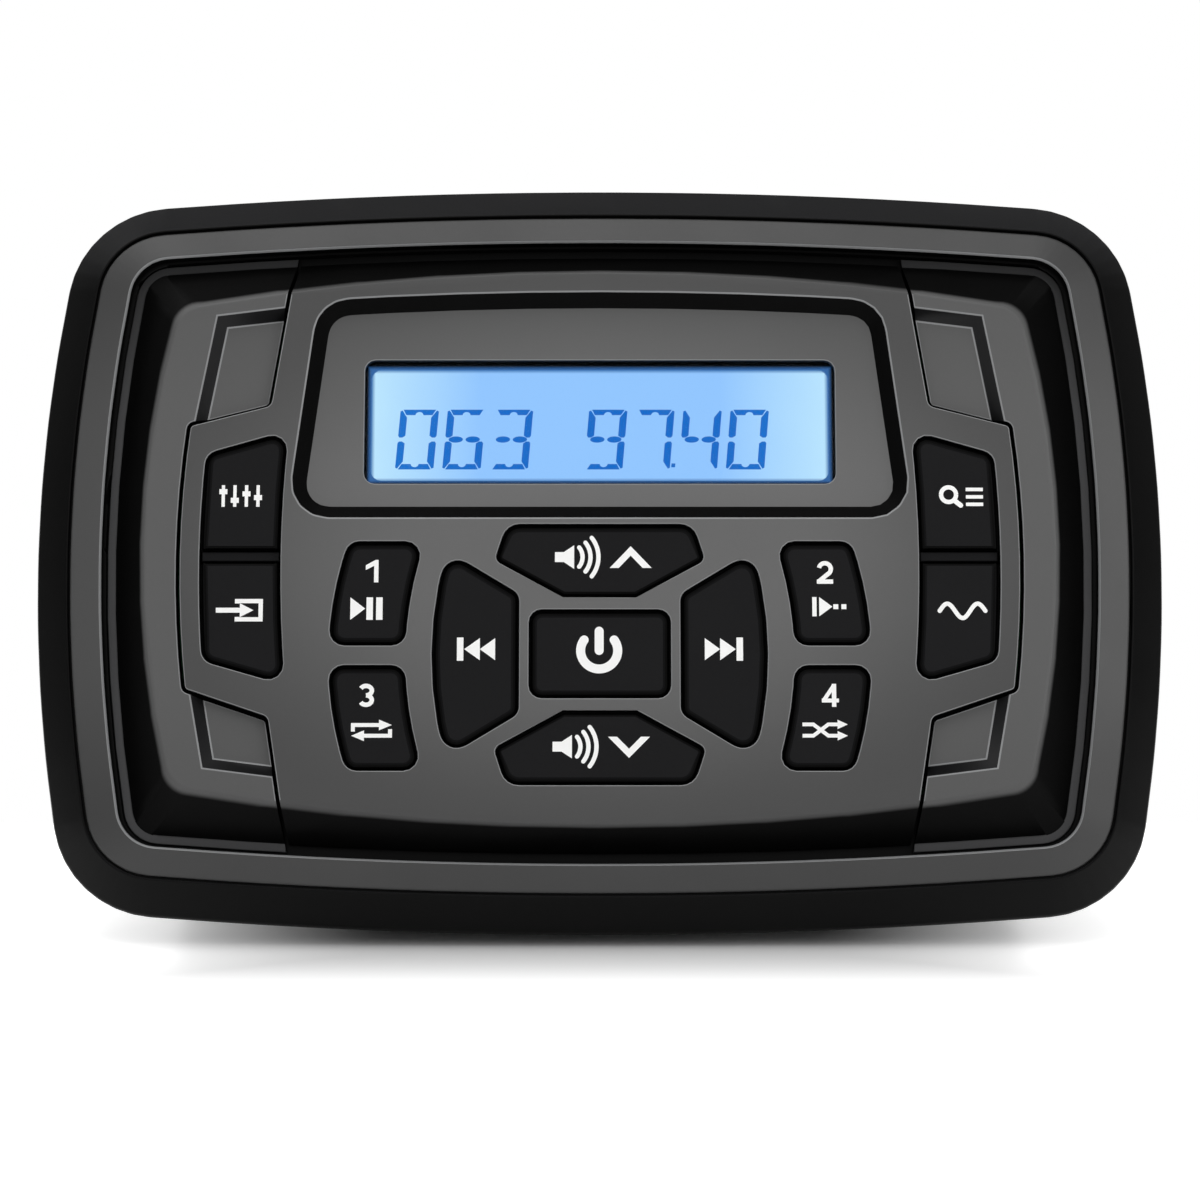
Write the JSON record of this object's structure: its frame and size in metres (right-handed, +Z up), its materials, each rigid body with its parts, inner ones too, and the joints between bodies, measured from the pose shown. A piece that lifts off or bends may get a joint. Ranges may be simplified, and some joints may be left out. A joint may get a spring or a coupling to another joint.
{
  "type": "marine stereo",
  "caption": "Panel-mounted marine stereo receiver with a bowed front, a recessed display, sprung rubber keys, a sealed chassis and a finned heat sink.",
  "frame": {"origin": "middle of the front, on the dashboard plane that the gasket's rear face seats on", "axes": "+X to the right as seen from the front, +Y into the dashboard, +Z up"},
  "size_m": [0.176, 0.0825, 0.1184],
  "materials": {
    "black_housing": "fine moulded texture",
    "charcoal_trim": "satin moulded texture",
    "foam_seal": "closed-cell foam",
    "key_rubber": "matte silicone",
    "gland_rubber": "matte",
    "clear_lens": "clear, polished",
    "display_glass": "lit from behind",
    "light_guide": "white",
    "circuit_board": "solder mask",
    "screw_steel": "zinc plated",
    "contact_gold": "plated",
    "header_plastic": "ivory",
    "sink_aluminium": "black anodised",
    "chip_plastic": "moulded",
    "capacitor_sleeve": "shrunk sleeve",
    "copper_wire": "enamelled",
    "socket_plating": "nickel plated"
  },
  "bodies": {
    "receiver": {"front_frame": "black_housing", "panel_gasket": "foam_seal", "trim_ring": "charcoal_trim", "face_panel": "charcoal_trim", "left_cheek": "charcoal_trim", "right_cheek": "charcoal_trim", "display_plate": "charcoal_trim", "display_lens": "clear_lens", "display_glass": "display_glass", "display_holder": "black_housing", "light_guide": "light_guide", "keypad_mat": "key_rubber", "key_contacts": "contact_gold", "front_board": "circuit_board", "front_board_screws": "screw_steel", "board_connector": "header_plastic", "chassis": "black_housing", "chassis_screws": "screw_steel", "rear_cover": "black_housing", "rear_screws": "screw_steel", "heat_sink": "sink_aluminium", "heat_sink_screws": "screw_steel", "main_board": "circuit_board", "main_board_screws": "screw_steel", "amplifier_chip": "chip_plastic", "amplifier_clamp": "screw_steel", "clamp_screws": "screw_steel", "capacitors": "capacitor_sleeve", "choke": "copper_wire", "tuner_module": "screw_steel", "aerial_socket": "socket_plating", "supply_gland": "gland_rubber", "audio_gland": "gland_rubber"},
    "power_key": {"power_key": "key_rubber"},
    "volume_up_key": {"volume_up_key": "key_rubber"},
    "volume_down_key": {"volume_down_key": "key_rubber"},
    "previous_key": {"previous_key": "key_rubber"},
    "next_key": {"next_key": "key_rubber"},
    "key_1": {"key_1": "key_rubber"},
    "key_2": {"key_2": "key_rubber"},
    "key_3": {"key_3": "key_rubber"},
    "key_4": {"key_4": "key_rubber"},
    "upper_left_key": {"upper_left_key": "key_rubber"},
    "lower_left_key": {"lower_left_key": "key_rubber"},
    "upper_right_key": {"upper_right_key": "key_rubber"},
    "lower_right_key": {"lower_right_key": "key_rubber"}
  },
  "joints": [
    {"name": "power_key_press", "type": "slide", "parent": "receiver", "child": "power_key", "axis": [0, 1, 0], "range_m": [0, 0.0008], "stiffness_N_per_m": 800},
    {"name": "volume_up_key_press", "type": "slide", "parent": "receiver", "child": "volume_up_key", "axis": [0, 1, 0], "range_m": [0, 0.0008], "stiffness_N_per_m": 800},
    {"name": "volume_down_key_press", "type": "slide", "parent": "receiver", "child": "volume_down_key", "axis": [0, 1, 0], "range_m": [0, 0.0008], "stiffness_N_per_m": 800},
    {"name": "previous_key_press", "type": "slide", "parent": "receiver", "child": "previous_key", "axis": [0, 1, 0], "range_m": [0, 0.0008], "stiffness_N_per_m": 800},
    {"name": "next_key_press", "type": "slide", "parent": "receiver", "child": "next_key", "axis": [0, 1, 0], "range_m": [0, 0.0008], "stiffness_N_per_m": 800},
    {"name": "key_1_press", "type": "slide", "parent": "receiver", "child": "key_1", "axis": [0, 1, 0], "range_m": [0, 0.0008], "stiffness_N_per_m": 800},
    {"name": "key_2_press", "type": "slide", "parent": "receiver", "child": "key_2", "axis": [0, 1, 0], "range_m": [0, 0.0008], "stiffness_N_per_m": 800},
    {"name": "key_3_press", "type": "slide", "parent": "receiver", "child": "key_3", "axis": [0, 1, 0], "range_m": [0, 0.0008], "stiffness_N_per_m": 800},
    {"name": "key_4_press", "type": "slide", "parent": "receiver", "child": "key_4", "axis": [0, 1, 0], "range_m": [0, 0.0008], "stiffness_N_per_m": 800},
    {"name": "upper_left_key_press", "type": "slide", "parent": "receiver", "child": "upper_left_key", "axis": [0, 1, 0], "range_m": [0, 0.0008], "stiffness_N_per_m": 800},
    {"name": "lower_left_key_press", "type": "slide", "parent": "receiver", "child": "lower_left_key", "axis": [0, 1, 0], "range_m": [0, 0.0008], "stiffness_N_per_m": 800},
    {"name": "upper_right_key_press", "type": "slide", "parent": "receiver", "child": "upper_right_key", "axis": [0, 1, 0], "range_m": [0, 0.0008], "stiffness_N_per_m": 800},
    {"name": "lower_right_key_press", "type": "slide", "parent": "receiver", "child": "lower_right_key", "axis": [0, 1, 0], "range_m": [0, 0.0008], "stiffness_N_per_m": 800}
  ]
}
